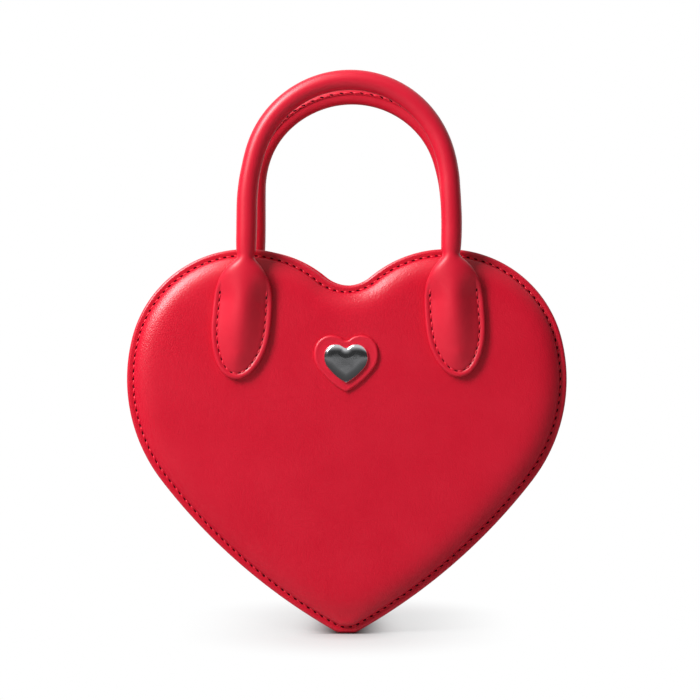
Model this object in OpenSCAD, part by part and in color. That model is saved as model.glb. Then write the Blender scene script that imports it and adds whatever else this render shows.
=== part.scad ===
// Heart shaped leather purse with two rolled top handles and a zipped top.
// The bag stands on its tip, its front faces -Y, and +Z is up.
// Every outline is one chain of tangent arcs, drawn smaller by an inset.

/* [Heart outline] */
// Radius of the round tip at the bottom
tip_r = 12; // [9:0.5:15]
// Radius of the long flank above the tip
flank_r = 288; // [260:4:320]
// Radius of the side at the widest place
side_r = 83; // [76:0.5:92]
// Radius of each lobe at the top
lobe_r = 59; // [54:0.5:64]
// Radius of the notch between the lobes
cleft_r = 18.7; // [14:0.1:24]
// Turn of the tip's arc, from the floor to the flank
tip_turn = 29.5; // [26:0.5:32]
// Turn of the flank's arc
flank_turn = 23; // [21:0.5:26]
// Turn of the side's arc
side_turn = 52; // [48:0.5:56]
// Width of the flat that the tip stands on
foot_w = 8; // [4:0.5:10]

/* [Body] */
// Depth from the front edge to the rear edge
body_depth = 68; // [50:1:90]
// Thickness of the panels' stitched edge
lip_t = 1.6; // [1.2:0.1:2.4]
// Thickness of the leather
leather_t = 1.4; // [1:0.1:1.8]
// Width of the flat stitched edge round each panel
lip_w = 4.6; // [3.5:0.1:6]
// Height of the padded panel above its edge
dome_h = 6; // [3:0.5:9]
// Width of the panel's rounded shoulder
dome_run = 16; // [10:0.5:22]
// Depth of the channel between the two edges
channel_d = 6; // [5:0.1:8]
// Thickness of the stiff board behind each panel
board_t = 1.2; // [0.8:0.1:2]
// Thickness of the lining cloth
lining_t = 0.6; // [0.4:0.1:1]

/* [Handles] */
// Radius of the rolled handle
handle_r = 5; // [4:0.1:6.5]
// Radius of the cord inside the handle
cord_r = 3.6; // [2.6:0.1:4]
// Height of the handle's arch centre above the heart's top
arch_rise = 32.8; // [25:0.1:60]
// Distance from the panel's face to the handle's middle
handle_off = 4.5; // [4:0.1:7]
// Radius of the bend where the handle meets its tab
neck_r = 4.2; // [3.4:0.1:4.6]
// Distance of the bend below the heart's top
neck_drop = 0.7; // [0:0.1:6]
// Height of the taper between the bend and the full handle
neck_h = 15; // [10:0.5:20]
// Width of the overlapping seam along the handle
lap_w = 3.6; // [2:0.1:4.5]
// Thickness of the overlapping seam
lap_t = 0.8; // [0.5:0.1:1.2]

/* [Handle tabs] */
// Length of the leaf shaped tab
tab_l = 60; // [45:1:75]
// Width of the tab at its widest place
tab_w = 29.2; // [20:0.2:36]
// Lean of the tab's tip away from the middle
tab_lean = 4.7; // [0:0.1:9]
// Thickness of the tab's stitched rim
rim_t = 1.6; // [1:0.1:2.2]
// Thickness of the leaf shaped leather under the tab
backing_t = 1.2; // [0.8:0.1:2]

/* [Zip] */
// Length of one tooth's step along the zip
tooth_pitch = 3; // [2.4:0.1:4]
// Length of a tooth along the zip
tooth_l = 1.1; // [0.8:0.05:1.3]
// Width of a tooth across the zip
tooth_w = 2.8; // [2:0.1:3.4]
// Height of a tooth
tooth_h = 2.2; // [1.8:0.1:2.6]
// Width of each half of the zip tape
tape_w = 12.8; // [9:0.2:16]
// Thickness of the zip tape
tape_t = 0.6; // [0.4:0.05:0.8]
// Turn on the side's arc where the zip ends
zip_turn = 97; // [92:0.5:100]
// Half the opening between the two leather zip strips
strip_gap = 5.5; // [5:0.1:7]
// Length of the slider
slider_l = 9; // [7:0.5:11]
// Length of the puller
puller_l = 24; // [16:1:30]
// Width of the puller at its round end
puller_w = 7; // [5.5:0.5:9]
// Radius of the hole in the puller
puller_hole_r = 1.5; // [1:0.1:2]

/* [Trim] */
// Width of the leather heart on the front
patch_w = 32; // [26:1:44]
// Thickness of the leather heart
patch_t = 1.4; // [1:0.1:2]
// Width of the polished heart plate
plate_w = 22; // [14:1:24]
// Thickness of the polished heart plate
plate_t = 1.6; // [1:0.1:2.4]
// Width of the pocket inside
pocket_w = 110; // [80:2:130]
// Height of the pocket inside
pocket_h = 58; // [40:1:70]
// Height of the pocket's opening above the floor
pocket_top = 134; // [120:1:150]

/* [Hidden] */

leather_red = "#c8152e";
lining_red = "#7c1420";
tape_red = "#a01226";
board_grey = "#8a8580";
foam_white = "#e8e4dc";
cord_white = "#d8d2c6";
chrome = "#c9ccd0";

// Gap between soft pieces on different bodies
soft_gap = 0.3;
// Extra length of every cut
cut = 1;
// Facets of round pieces
round_fn = 48;

// Steps of each arc of the outline
foot_steps = 2;
flank_steps = 6;
side_steps = 7;
end_steps = 2;
lobe_steps = 15;
cleft_steps = 4;
dome_steps = 6;

// Unit vector that points out of the outline at a turn
function out(turn) = [sin(turn), -cos(turn)];

foot_turn = asin(foot_w / 2 / tip_r);
flank_end = tip_turn + flank_turn;
side_end = flank_end + side_turn;

tip_c = [0, tip_r * cos(foot_turn)];
flank_c = tip_c + (tip_r - flank_r) * out(tip_turn);
side_c = flank_c + (flank_r - side_r) * out(flank_end);
lobe_c = side_c + (side_r - lobe_r) * out(side_end);
cleft_turn = asin(lobe_c.x / (lobe_r + cleft_r));
cleft_c = [0, lobe_c.y + (lobe_r + cleft_r) * cos(cleft_turn)];
lobe_end = 180 + cleft_turn;
heart_top = lobe_c.y + lobe_r;
heart_w = 2 * (side_c.x + side_r);

// Least radius of the tip inside the bag
inner_tip_r = 1.5;
function tip_r_at(d) = max(tip_r - d, inner_tip_r);
function tip_z(d) = flank_c.y - sqrt(pow(flank_r - d - tip_r_at(d), 2) - pow(flank_c.x, 2));
function tip_turn_at(d) = atan2(-flank_c.x, flank_c.y - tip_z(d));

function arc(c, r, a, b, n, first = 0) =
    [for (i = [first:n]) c + r * out(a + (b - a) * i / n)];

// Right half of the outline at inset d, from the foot up to a turn on the side
function lower_half(d, top) = concat(
    arc([0, tip_z(d)], tip_r_at(d), foot_turn, tip_turn_at(d), foot_steps),
    arc(flank_c, flank_r - d, tip_turn_at(d), flank_end, flank_steps, 1),
    arc(side_c, side_r - d, flank_end, tape_turn, side_steps, 1),
    top > tape_turn ? arc(side_c, side_r - d, tape_turn, top, 1, 1) : []);

// Right half of the outline at inset d, from where the front tape starts to the cleft
function lobe_half(d, first) = concat(
    arc(lobe_c, lobe_r - d, tape_start, lobe_end, lobe_steps, first),
    [for (p = arc(cleft_c, cleft_r + d, cleft_turn, 0, cleft_steps, 1)) [max(p.x, 0), p.y]]);

// Right half of the outline at inset d, from a turn on the side to the cleft
function upper_half(d, bottom) = concat(
    bottom < zip_turn ? [side_c + (side_r - d) * out(bottom)] : [],
    arc(side_c, side_r - d, max(bottom, zip_turn), side_end, end_steps),
    arc(lobe_c, lobe_r - d, side_end, tape_start, end_steps, 1),
    lobe_half(d, 1));

function right_half(d) = let (upper = upper_half(d, zip_turn))
    concat(lower_half(d, zip_turn), [for (i = [1:len(upper) - 1]) upper[i]]);

// The half's mirror image in reverse order, without its last points
function mirrored(half, skip) =
    [for (i = [len(half) - 1 - skip:-1:0]) [-half[i].x, half[i].y]];

function outline(d) = concat(right_half(d), mirrored(right_half(d), 1));
function lower_line(d, top = zip_turn) =
    concat(mirrored(lower_half(d, top), 0), lower_half(d, top));
function upper_line(d, bottom) =
    concat(upper_half(d, bottom), mirrored(upper_half(d, bottom), 1));

module heart(d = 0) {
    polygon(outline(d));
}

module band(outer, inner) {
    polygon(concat(outer, [for (i = [len(inner) - 1:-1:0]) inner[i]]));
}

// Extrudes an upright outline between two distances from the middle plane
module slab(near, far) {
    translate([0, -near, 0])
        rotate([90, 0, 0])
        linear_extrude(far - near) children();
}

// The rear is the front's mirror image
module to_rear() {
    mirror([0, 1, 0]) children();
}

// Closed skin through rings of equally many points
module skin(rings) {
    n = len(rings[0]);
    last = (len(rings) - 1) * n;
    polyhedron(
        points = [for (ring = rings) for (p = ring) p],
        faces = concat(
            [[for (i = [0:n - 1]) i]],
            [for (k = [0:len(rings) - 2]) for (i = [0:n - 1]) let (j = (i + 1) % n)
                each [
                    [k * n + i, (k + 1) * n + i, (k + 1) * n + j],
                    [k * n + i, (k + 1) * n + j, k * n + j]
                ]],
            [[for (i = [n - 1:-1:0]) last + i]]));
}

function ring(d, v) = [for (p = outline(d)) [p.x, p.y, v]];

lip_face = body_depth / 2;
lip_back = lip_face - lip_t;
panel_face = lip_face + dome_h;
flange_back = lip_back - leather_t;

// Inset and distance of the panel's outer and inner skin at a share of its shoulder
function dome_ring(a) =
    ring(lip_w + dome_run * (1 - cos(a)), lip_face + dome_h * sin(a));
function inner_ring(a) =
    ring(lip_w + leather_t + (dome_run - leather_t) * (1 - cos(a)),
         lip_back + (dome_h + lip_t - leather_t) * sin(a));

// Padded leather panel with a flat edge, open at the back
module panel() {
    color(leather_red)
        rotate([90, 0, 0])
        skin(concat(
            [for (i = [dome_steps:-1:0]) inner_ring(90 * i / dome_steps)],
            [ring(0, lip_back), ring(0, lip_face)],
            [for (i = [0:dome_steps]) dome_ring(90 * i / dome_steps)]));
}

// Foam that fills the panel's shoulder and face
module foam() {
    color(foam_white)
        rotate([90, 0, 0])
        skin([for (i = [0:dome_steps]) foam_ring(90 * i / dome_steps)]);
}
function foam_ring(a) =
    ring(lip_w + leather_t + soft_gap + (dome_run - leather_t) * (1 - cos(a)),
         lip_back + (dome_h + lip_t - leather_t) * sin(a));

band_in = channel_d + leather_t;
lined_in = band_in + lining_t;
board_in = lined_in + soft_gap;

module board() {
    color(board_grey)
        slab(lip_back - board_t, lip_back) heart(board_in);
}

module lining() {
    color(lining_red)
        slab(lip_back - board_t - lining_t, lip_back - board_t) heart(board_in);
}

lining_face = lip_back - board_t - lining_t;

// Pocket on the rear lining, open at its top
pocket_gap = 0.4;
pocket_hem = 3;
module slip_pocket() {
    color(lining_red)
        to_rear()
        difference() {
            slab(lining_face - pocket_gap - lining_t, lining_face) pocket_outline(0);
            slab(lining_face - pocket_gap, lining_face + cut)
                translate([0, pocket_hem]) pocket_outline(pocket_hem);
        }
}
module pocket_outline(d) {
    translate([-pocket_w / 2 + d, pocket_top - pocket_h])
        square([pocket_w - 2 * d, pocket_h]);
}

// Turn at which the gusset's lining gives way to the sewn end of the zip tape
tape_under_turn = 2;
tape_turn = zip_turn - tape_under_turn;

// Band round the tip between the panels, with an edge turned out on each side
module lower_gusset() {
    color(leather_red) {
        slab(-flange_back, flange_back)
            band(lower_line(channel_d), lower_line(band_in));
        slab(flange_back, lip_back - soft_gap)
            band(lower_line(0), lower_line(band_in));
        to_rear()
            slab(flange_back, lip_back)
            band(lower_line(0), lower_line(band_in));
    }
}

module gusset_lining() {
    color(lining_red)
        slab(-flange_back, flange_back)
        band(lower_line(band_in, tape_turn), lower_line(lined_in, tape_turn));
}

function turn_of(length, radius) = length / radius * 180 / PI;

// Turn where the pieces that open with the front begin
open_turn = zip_turn + turn_of(soft_gap, side_r);

// Leather strip beside the zip with its edge turned out under the panel
module zip_strip(bottom) {
    color(leather_red) {
        slab(strip_gap, flange_back)
            band(upper_line(channel_d, bottom), upper_line(band_in, bottom));
        slab(flange_back, lip_back)
            band(upper_line(0, bottom), upper_line(band_in, bottom));
    }
}

tape_edge = 1.2;
tape_far = tape_edge + tape_w;

module strip_lining(bottom) {
    color(lining_red)
        slab(tape_far + soft_gap, flange_back)
        band(upper_line(band_in, bottom), upper_line(lined_in, bottom));
}

tape_in = band_in + tape_t;
chain_in = band_in + tape_t / 2;

module zip_tape(line_out, line_in) {
    color(tape_red)
        slab(tape_edge, tape_far) band(line_out, line_in);
}

// Half the slot between the tips of the two rows of teeth
slot = 0.45;
// Clearance of the tape in a tooth's jaws
jaw_gap = 0.15;

cleft_len = (cleft_r + chain_in) * cleft_turn * PI / 180;
lobe_len = (lobe_r - chain_in) * (lobe_end - side_end) * PI / 180;
side_len = (side_r - chain_in) * (side_end - zip_turn) * PI / 180;
zip_half = cleft_len + lobe_len + side_len;

// Turn of the zip's path at a length from the cleft
function zip_at(s) =
    s < cleft_len ? 180 + turn_of(s, cleft_r + chain_in) :
    s < cleft_len + lobe_len ? lobe_end - turn_of(s - cleft_len, lobe_r - chain_in) :
    side_end - turn_of(s - cleft_len - lobe_len, side_r - chain_in);
function zip_point(s) =
    s < cleft_len ? cleft_c - (cleft_r + chain_in) * out(zip_at(s)) :
    s < cleft_len + lobe_len ? lobe_c + (lobe_r - chain_in) * out(zip_at(s)) :
    side_c + (side_r - chain_in) * out(zip_at(s));

// Places a piece on the zip: its X points out of the bag and its Z along the zip
module on_zip(s) {
    p = zip_point(abs(s));
    mirror([s < 0 ? 1 : 0, 0, 0])
        translate([p.x, 0, p.y])
        rotate([0, 90 - zip_at(abs(s)), 0])
        children();
}

// Metal jaw that grips the tape's edge, seen along the zip
module jaw(reach) {
    inner = tape_t / 2 + jaw_gap;
    translate([0, 0, -tooth_l / 2])
        linear_extrude(tooth_l)
        polygon([
            [-tooth_h / 2, -slot], [tooth_h / 2, -slot],
            [tooth_h / 2, -slot - reach], [inner, -slot - reach],
            [inner, -tape_edge + jaw_gap], [-inner, -tape_edge + jaw_gap],
            [-inner, -slot - reach], [-tooth_h / 2, -slot - reach]
        ]);
}

// Length along the zip from the cleft to the last tooth that opens with the front
stop_room = tooth_pitch;
last_tooth = zip_half - stop_room;
slider_turn = side_end + turn_of(slider_l / 4, lobe_r - chain_in);
slider_s = cleft_len + (lobe_end - slider_turn) / 180 * PI * (lobe_r - chain_in);
open_s = slider_s - slider_l / 2 - soft_gap - tooth_l / 2;
open_top_turn = zip_at(open_s + tooth_l / 2);
tape_start = open_top_turn + turn_of(soft_gap, lobe_r);

module teeth(first, last, shift) {
    from = ceil((first - shift) / tooth_pitch);
    to = floor((last - shift) / tooth_pitch);
    color(chrome)
        for (i = [from:to])
            on_zip(i * tooth_pitch + shift) jaw(tooth_w);
}

module rear_teeth() {
    to_rear() teeth(-last_tooth, last_tooth, 0);
}
module front_teeth() {
    teeth(-last_tooth, open_s - tooth_l, tooth_pitch / 2);
}

// Front half of the zip under the slider, where the two tapes are sewn together
module closed_end() {
    outer = side_arc(band_in);
    inner = side_arc(tape_in);
    color(tape_red)
        slab(tape_edge, strip_gap - soft_gap) band(outer, inner);
    teeth(open_s, last_tooth, tooth_pitch / 2);
}
function side_arc(d) = concat(
    [side_c + (side_r - d) * out(tape_turn)],
    arc(side_c, side_r - d, zip_turn, side_end, end_steps),
    arc(lobe_c, lobe_r - d, side_end, open_top_turn, end_steps, 1));

// Front tape from the slider over both lobes to the far end
module front_tape() {
    line = function (d) concat(lobe_half(d, 0), mirrored(upper_half(d, open_turn), 1));
    zip_tape(line(band_in), line(tape_in));
}

// Clamps past the last teeth that stop the slider
stop_reach = 3.4;
module zip_stops() {
    color(chrome) {
        to_rear() on_zip(zip_half - tooth_l) jaw(stop_reach);
        to_rear() on_zip(tooth_l - zip_half) jaw(stop_reach);
        on_zip(zip_half - tooth_l) jaw(stop_reach);
    }
}

// Small leather tabs sewn over the ends of the zip
end_tab_turn = 6;
end_tab_w = 14;
end_tab_t = 0.8;
module zip_end_tabs() {
    line = function (d) arc(side_c, side_r - d, zip_turn - end_tab_turn, zip_turn, side_steps);
    color(leather_red)
        for (side = [0, 1])
            mirror([side, 0, 0])
            slab(-end_tab_w / 2, end_tab_w / 2)
            band(line(channel_d - end_tab_t), line(channel_d));
}

handle_y = panel_face + handle_off;
tab_back = panel_face + backing_t;
neck_z = heart_top - neck_drop;
tab_top = neck_z - neck_r - soft_gap;
arch_z = heart_top + arch_rise;
arch_r = lobe_c.x;

// Half the width of the leaf at a share of its length from the neck
widest_share = 0.54;
shoulder_power = 3.2;
tip_power = 1.8;
tip_root = 0.6;
function leaf_half(u) = u < widest_share
    ? neck_r + (tab_w / 2 - neck_r) * (1 - pow(1 - u / widest_share, shoulder_power))
    : tab_w / 2 * pow(1 - pow((u - widest_share) / (1 - widest_share), tip_power), tip_root);

// Height of the padding over the tab's rim at a share of its length
pad_neck = handle_off + neck_r - backing_t - rim_t;
pad_tip_share = 0.12;
pad_end_share = 0.85;
function pad_height(u) = pad_neck * (pad_tip_share
    + (1 - pad_tip_share) * pow(cos(90 * min(u / pad_end_share, 1)), 2));

leaf_shares = [0.995, 0.97, 0.92, 0.84, 0.74, 0.62, 0.48, 0.34, 0.22, 0.12, 0.05, 0];
across_shares = [-1, -0.8, -0.55, -0.28, 0, 0.28, 0.55, 0.8, 1];

// Section of the padded leaf, over its rim from left to right and back
function leaf_section(u) = let (w = leaf_half(u), y = -u * tab_l)
    concat(
        [for (s = across_shares) [s * w, y, rim_t + pad_height(u) * sqrt(1 - s * s)]],
        [[w, y, 0], [-w, y, 0]]);

// Places a leaf under the left (-1) or right (1) foot of the handle
module at_tab(side, v) {
    translate([side * arch_r, -v, tab_top])
        rotate([0, -side * tab_lean, 0])
        rotate([90, 0, 0])
        children();
}

module handle_tab(side) {
    color(leather_red)
        at_tab(side, tab_back) skin([for (u = leaf_shares) leaf_section(u)]);
}

module tab_backing(side) {
    right = [for (u = leaf_shares) [leaf_half(u), -u * tab_l]];
    left = [for (i = [len(right) - 1:-1:0]) [-right[i].x, right[i].y]];
    color(leather_red)
        at_tab(side, panel_face)
        linear_extrude(backing_t) polygon(concat(right, left));
}

module tab_backings() {
    for (side = [-1, 1]) tab_backing(side);
}

// Rolled handle as a solid of a given radius, with straight legs down to a height
module arch(r, leg_bottom) {
    translate([0, 0, arch_z])
        rotate([90, 0, 0])
        rotate_extrude(angle = 180, $fn = 2 * round_fn)
        translate([arch_r, 0]) circle(r, $fn = round_fn);
    for (side = [-1, 1])
        translate([side * arch_r, 0, leg_bottom])
        cylinder(r = r, h = arch_z - leg_bottom, $fn = round_fn);
}

// Overlap of the leather along the side that faces the bag, seen from its end
module lap() {
    difference() {
        intersection() {
            circle(handle_r + lap_t, $fn = round_fn);
            translate([0, -handle_r - lap_t]) square([lap_w, handle_r + lap_t]);
        }
        circle(handle_r - leather_t / 2, $fn = round_fn);
    }
}

taper_top = neck_z + neck_h;
cord_end = neck_z + neck_h * 2 / 3;

module handle_cover() {
    color(leather_red)
        translate([0, -handle_y, 0])
        difference() {
            union() {
                arch(handle_r, taper_top);
                translate([0, 0, arch_z])
                    rotate([90, 0, 0])
                    rotate_extrude(angle = 180, $fn = 2 * round_fn)
                    translate([arch_r, 0]) lap();
                for (side = [-1, 1]) {
                    translate([side * arch_r, 0, taper_top])
                        mirror([side < 0 ? 1 : 0, 0, 0])
                        mirror([0, 1, 0])
                        linear_extrude(arch_z - taper_top) lap();
                    translate([side * arch_r, 0, neck_z])
                        cylinder(r1 = neck_r, r2 = handle_r, h = neck_h, $fn = round_fn);
                    translate([side * arch_r, 0, neck_z]) knuckle();
                }
            }
            arch(cord_r, cord_end);
        }
}

// Round end of the handle that bends on its tab
module knuckle() {
    intersection() {
        translate([0, 0, -neck_r]) cylinder(r = neck_r, h = neck_r, $fn = round_fn);
        rotate([0, 90, 0])
            cylinder(r = neck_r, h = 2 * neck_r, center = true, $fn = round_fn);
    }
}

module handle_cord() {
    color(cord_white)
        translate([0, -handle_y, 0]) arch(cord_r, cord_end);
}

// Height of the badge's middle above the floor
badge_z = 135;
bevel = 1;
module badge_heart(w, d) {
    translate([0, badge_z - heart_top / 2 * w / heart_w])
        scale([w / heart_w, w / heart_w])
        heart(d * heart_w / w);
}

module badge_patch() {
    color(leather_red)
        slab(panel_face, panel_face + patch_t) badge_heart(patch_w, 0);
}

module badge_plate() {
    seat = panel_face + patch_t;
    color(chrome) {
        slab(seat, seat + plate_t / 2) badge_heart(plate_w, 0);
        slab(seat + plate_t / 2, seat + plate_t) badge_heart(plate_w, bevel);
    }
}

// Slider: two plates joined by the divider, with a bail on top
slider_w = 8.6;
plate_gap = 1.5;
slide_t = 0.9;
guard_w = 0.8;
guard_gap = 0.8;
divider_t = 0.6;
divider_l = 2.4;
bail_t = 1.6;
bail_bar = 0.8;
bail_l = 7;
pin_r = 0.6;
pin_gap = 0.15;
pin_out = plate_gap + slide_t + pin_gap + pin_r;
bail_in = pin_out + pin_r + pin_gap;
bail_out = bail_in + bail_bar;

// Box given by its lowest and highest corners
module block(low, high) {
    translate(low) cube(high - low);
}

module at_slider() {
    p = lobe_c + (lobe_r - chain_in) * out(slider_turn);
    translate([p.x, 0, p.y]) rotate([0, 90 - slider_turn, 0]) children();
}

module slider_body() {
    plate_out = plate_gap + slide_t;
    color(chrome)
        at_slider() {
            for (s = [-1, 1])
                mirror([s < 0 ? 1 : 0, 0, 0]) {
                    block([plate_gap, -slider_w / 2, -slider_l / 2],
                          [plate_out, slider_w / 2, slider_l / 2]);
                    for (y = [-slider_w / 2, slider_w / 2 - guard_w])
                        block([guard_gap, y, -slider_l / 2],
                              [plate_gap, y + guard_w, slider_l / 2]);
                }
            block([-plate_gap, -divider_t / 2, -slider_l / 2],
                  [plate_gap, divider_t / 2, divider_l - slider_l / 2]);
            bail(plate_out);
        }
}

module bail(foot) {
    half = bail_l / 2;
    rotate([90, 0, 0])
        translate([0, 0, -bail_t / 2])
        linear_extrude(bail_t)
        difference() {
            polygon([[foot, -half], [foot, half], [bail_in, half],
                     [bail_out, half - bail_bar], [bail_out, bail_bar - half],
                     [bail_in, -half]]);
            translate([foot, bail_bar - half])
                square([bail_in - foot, bail_l - 2 * bail_bar]);
        }
}

// Puller: a flat drop with a pin that turns under the bail
pin_l = 4.8;
window_w = 2.4;
window_l = 5.4;
puller_neck = 4.8;
module puller_tab() {
    color(chrome)
        at_slider()
        translate([pin_out, 0, 0])
        union() {
            rotate([90, 0, 0])
                cylinder(r = pin_r, h = pin_l, center = true, $fn = round_fn);
            difference() {
                translate([-pin_r, 0, 0])
                    rotate([0, 90, 0])
                    linear_extrude(2 * pin_r) puller_outline();
                block([-pin_r - cut, -window_w / 2, -window_l],
                      [pin_r + cut, window_w / 2, cut]);
                translate([-pin_r - cut, 0, puller_w / 2 - puller_l])
                    rotate([0, 90, 0])
                    cylinder(r = puller_hole_r, h = 2 * (pin_r + cut), $fn = round_fn);
            }
        }
}
module puller_outline() {
    end = puller_l - puller_w / 2;
    polygon([[0, -puller_neck / 2], [end, -puller_w / 2], [end, puller_w / 2],
             [0, puller_neck / 2]]);
    translate([end, 0]) circle(puller_w / 2, $fn = round_fn);
}

to_rear() panel();  // rear_panel
to_rear() foam();  // rear_foam
to_rear() board();  // rear_board
to_rear() lining();  // rear_lining
slip_pocket();
lower_gusset();
gusset_lining();
to_rear() zip_strip(zip_turn);  // rear_zip_strip
to_rear() strip_lining(zip_turn);  // rear_strip_lining
to_rear() zip_tape(upper_line(band_in, tape_turn), upper_line(tape_in, tape_turn));  // rear_zip_tape
rear_teeth();  // rear_zip_teeth
closed_end();  // zip_closed_end
zip_stops();
zip_end_tabs();
to_rear() handle_tab(-1);  // rear_left_tab
to_rear() handle_tab(1);  // rear_right_tab
to_rear() tab_backings();  // rear_tab_backings
panel();  // front_panel
foam();  // front_foam
board();  // front_board
lining();  // front_lining
zip_strip(open_turn);  // front_zip_strip
strip_lining(open_turn);  // front_strip_lining
front_tape();  // front_zip_tape
front_teeth();  // front_zip_teeth
handle_tab(-1);  // front_left_tab
handle_tab(1);  // front_right_tab
tab_backings();  // front_tab_backings
badge_patch();
badge_plate();
handle_cover();  // front_handle_cover
handle_cord();  // front_handle_cord
to_rear() handle_cover();  // rear_handle_cover
to_rear() handle_cord();  // rear_handle_cord
slider_body();  // zip_slider_body
puller_tab();  // zip_puller_tab
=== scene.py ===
# %% [markdown]
# # A heart shaped purse
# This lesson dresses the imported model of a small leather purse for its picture. The packed
# model is the fixed frame: it holds every solid at its real place, in metres, with the bag's
# front facing -Y and +Z up. Each soft piece gets a finer skin in the same place, and each
# finish is a procedural material.

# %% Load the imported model
import math

import bmesh
import bpy
import numpy as np
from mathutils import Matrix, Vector


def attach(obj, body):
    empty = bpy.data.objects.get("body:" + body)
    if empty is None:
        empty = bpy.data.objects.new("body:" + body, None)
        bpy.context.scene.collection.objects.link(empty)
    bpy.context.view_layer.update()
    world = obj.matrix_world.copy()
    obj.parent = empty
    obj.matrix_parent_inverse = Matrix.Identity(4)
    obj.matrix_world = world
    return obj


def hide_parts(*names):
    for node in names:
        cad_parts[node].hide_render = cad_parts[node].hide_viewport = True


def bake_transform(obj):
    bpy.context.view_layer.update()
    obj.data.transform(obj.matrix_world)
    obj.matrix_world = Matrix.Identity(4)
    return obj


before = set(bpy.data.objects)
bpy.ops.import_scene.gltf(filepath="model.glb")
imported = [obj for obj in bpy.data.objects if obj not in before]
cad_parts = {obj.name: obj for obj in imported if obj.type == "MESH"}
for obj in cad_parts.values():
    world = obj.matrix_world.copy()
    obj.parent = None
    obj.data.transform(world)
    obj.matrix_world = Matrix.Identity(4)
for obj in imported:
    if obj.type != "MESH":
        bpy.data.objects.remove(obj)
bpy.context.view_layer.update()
MM = 0.001

# %% [markdown]
# ## The camera
# The photo is taken from about 1.3 m away with a long lens, a little above the middle of the
# heart. Lines that run back into the picture meet up and to the right of its middle, which
# gives the small turn and tilt. The camera comes first, so that every later look is right.

# %% Camera
LENS_PX, PICTURE_PX, SENSOR = 2550, 700, 36


def add_object(name, data):
    made = bpy.data.objects.new(name, data)
    bpy.context.scene.collection.objects.link(made)
    return made


def face_along(holder, sight):
    """Turns a camera or a lamp to look along a direction."""
    holder.rotation_euler = sight.to_track_quat("-Z", "Y").to_euler()


camera = add_object("camera", bpy.data.cameras.new("camera"))
camera.data.sensor_width = SENSOR
camera.data.lens = SENSOR * LENS_PX / PICTURE_PX
camera.location = (0.0268, -1.304, 0.1755)
face_along(camera, Vector((-0.0197, 1, -0.0268)).normalized())
bpy.context.scene.camera = camera
print("lens:", round(camera.data.lens, 1), "mm")

# %% [markdown]
# ## The heart's outline
# The outline is a chain of tangent arcs: a round tip, a long flank, a side, a lobe and the
# notch between the lobes. Drawing it at an inset keeps the arcs' centres and changes only
# their radii, so every ring has the same number of points and rings can be joined one to one.

# %% Outline, in millimetres
TIP_R, FLANK_R, SIDE_R, LOBE_R, CLEFT_R = 12, 288, 83, 59, 18.7
TIP_TURN, FLANK_END, SIDE_END, ZIP_TURN = 29.5, 52.5, 104.5, 97
FOOT_TURN = math.degrees(math.asin(4 / TIP_R))
BODY_HALF, LIP_BACK, PANEL_FACE = 34, 32.4, 40
TO_NOTCH = 400


def out(turn):
    """The direction at a turn in degrees, counted from straight down round by the right."""
    a = np.radians(turn)
    return np.stack([np.sin(a), -np.cos(a)], -1)


tip_c = np.array([0, TIP_R * math.cos(math.radians(FOOT_TURN))])
flank_c = tip_c + (TIP_R - FLANK_R) * out(TIP_TURN)
side_c = flank_c + (FLANK_R - SIDE_R) * out(FLANK_END)
lobe_c = side_c + (SIDE_R - LOBE_R) * out(SIDE_END)
CLEFT_TURN = math.degrees(math.asin(lobe_c[0] / (LOBE_R + CLEFT_R)))
LOBE_END = 180 + CLEFT_TURN
cleft_c = np.array([0, lobe_c[1] + (LOBE_R + CLEFT_R) * math.cos(math.radians(CLEFT_TURN))])
HEART_TOP = lobe_c[1] + LOBE_R
HEART_W = 2 * (side_c[0] + SIDE_R)


def span(a, b, n):
    return np.linspace(a, b, n + 1)[1:]


def smooth_share(x):
    x = np.clip(x, 0, 1)
    return x * x * (3 - 2 * x)


def soften(height, ease):
    """Height over the floor, with the corner where an arc meets the floor rounded off."""
    eased = (height + np.sqrt(height ** 2 + ease ** 2)) / 2
    return eased - eased[0]


def half_line(d, first=0.0, last=TO_NOTCH):
    """Right half at inset d from the foot to the notch, between two turns; past the lobe's
    end a turn counts on through the notch."""
    r = max(TIP_R - d, 1.5)
    tip_z = flank_c[1] - math.sqrt((FLANK_R - d - r) ** 2 - flank_c[0] ** 2)
    tip_end = math.degrees(math.atan2(-flank_c[0], flank_c[1] - tip_z))
    tip_turns = np.concatenate([[0], span(0, FOOT_TURN, 3), span(FOOT_TURN, tip_end, 5)])
    tip = [0, tip_z] + r * out(tip_turns)
    floor_z = tip_z - r * math.cos(math.radians(FOOT_TURN))
    tip[:, 1] = floor_z + soften(tip[:, 1] - floor_z, 0.042 * r)
    side = np.concatenate([span(FLANK_END, ZIP_TURN, 28), span(ZIP_TURN, SIDE_END, 4)])
    lobe, notch = span(SIDE_END, LOBE_END, 54), span(CLEFT_TURN, 0, 12)
    points = np.concatenate([
        tip, flank_c + (FLANK_R - d) * out(span(tip_end, FLANK_END, 44)), side_c + (SIDE_R - d) * out(side),
        lobe_c + (LOBE_R - d) * out(lobe), cleft_c + (CLEFT_R + d) * out(notch)])
    turns = np.concatenate([np.arange(4) / 10, span(1, TIP_TURN, 5), span(TIP_TURN, FLANK_END, 44), side,
                            lobe, 180 + 2 * CLEFT_TURN - notch])
    points[-1, 0] = 0
    return points[(turns >= first - 1e-6) & (turns <= last + 1e-6)]


def ring(d):
    """The whole outline at inset d, from the foot round by the right."""
    half = half_line(d)
    return np.concatenate([half, half[-2:0:-1] * [-1, 1]])


def at_y(line, y):
    """Stands a flat line up in space at a depth."""
    return np.column_stack([line[:, 0], np.broadcast_to(y, len(line)), line[:, 1]])


def shrunk(line, share, middle):
    return middle + (line - middle) * share


print("heart:", round(HEART_W, 1), "x", round(HEART_TOP, 1), "mm;", len(ring(0)), "points a ring")

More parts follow.
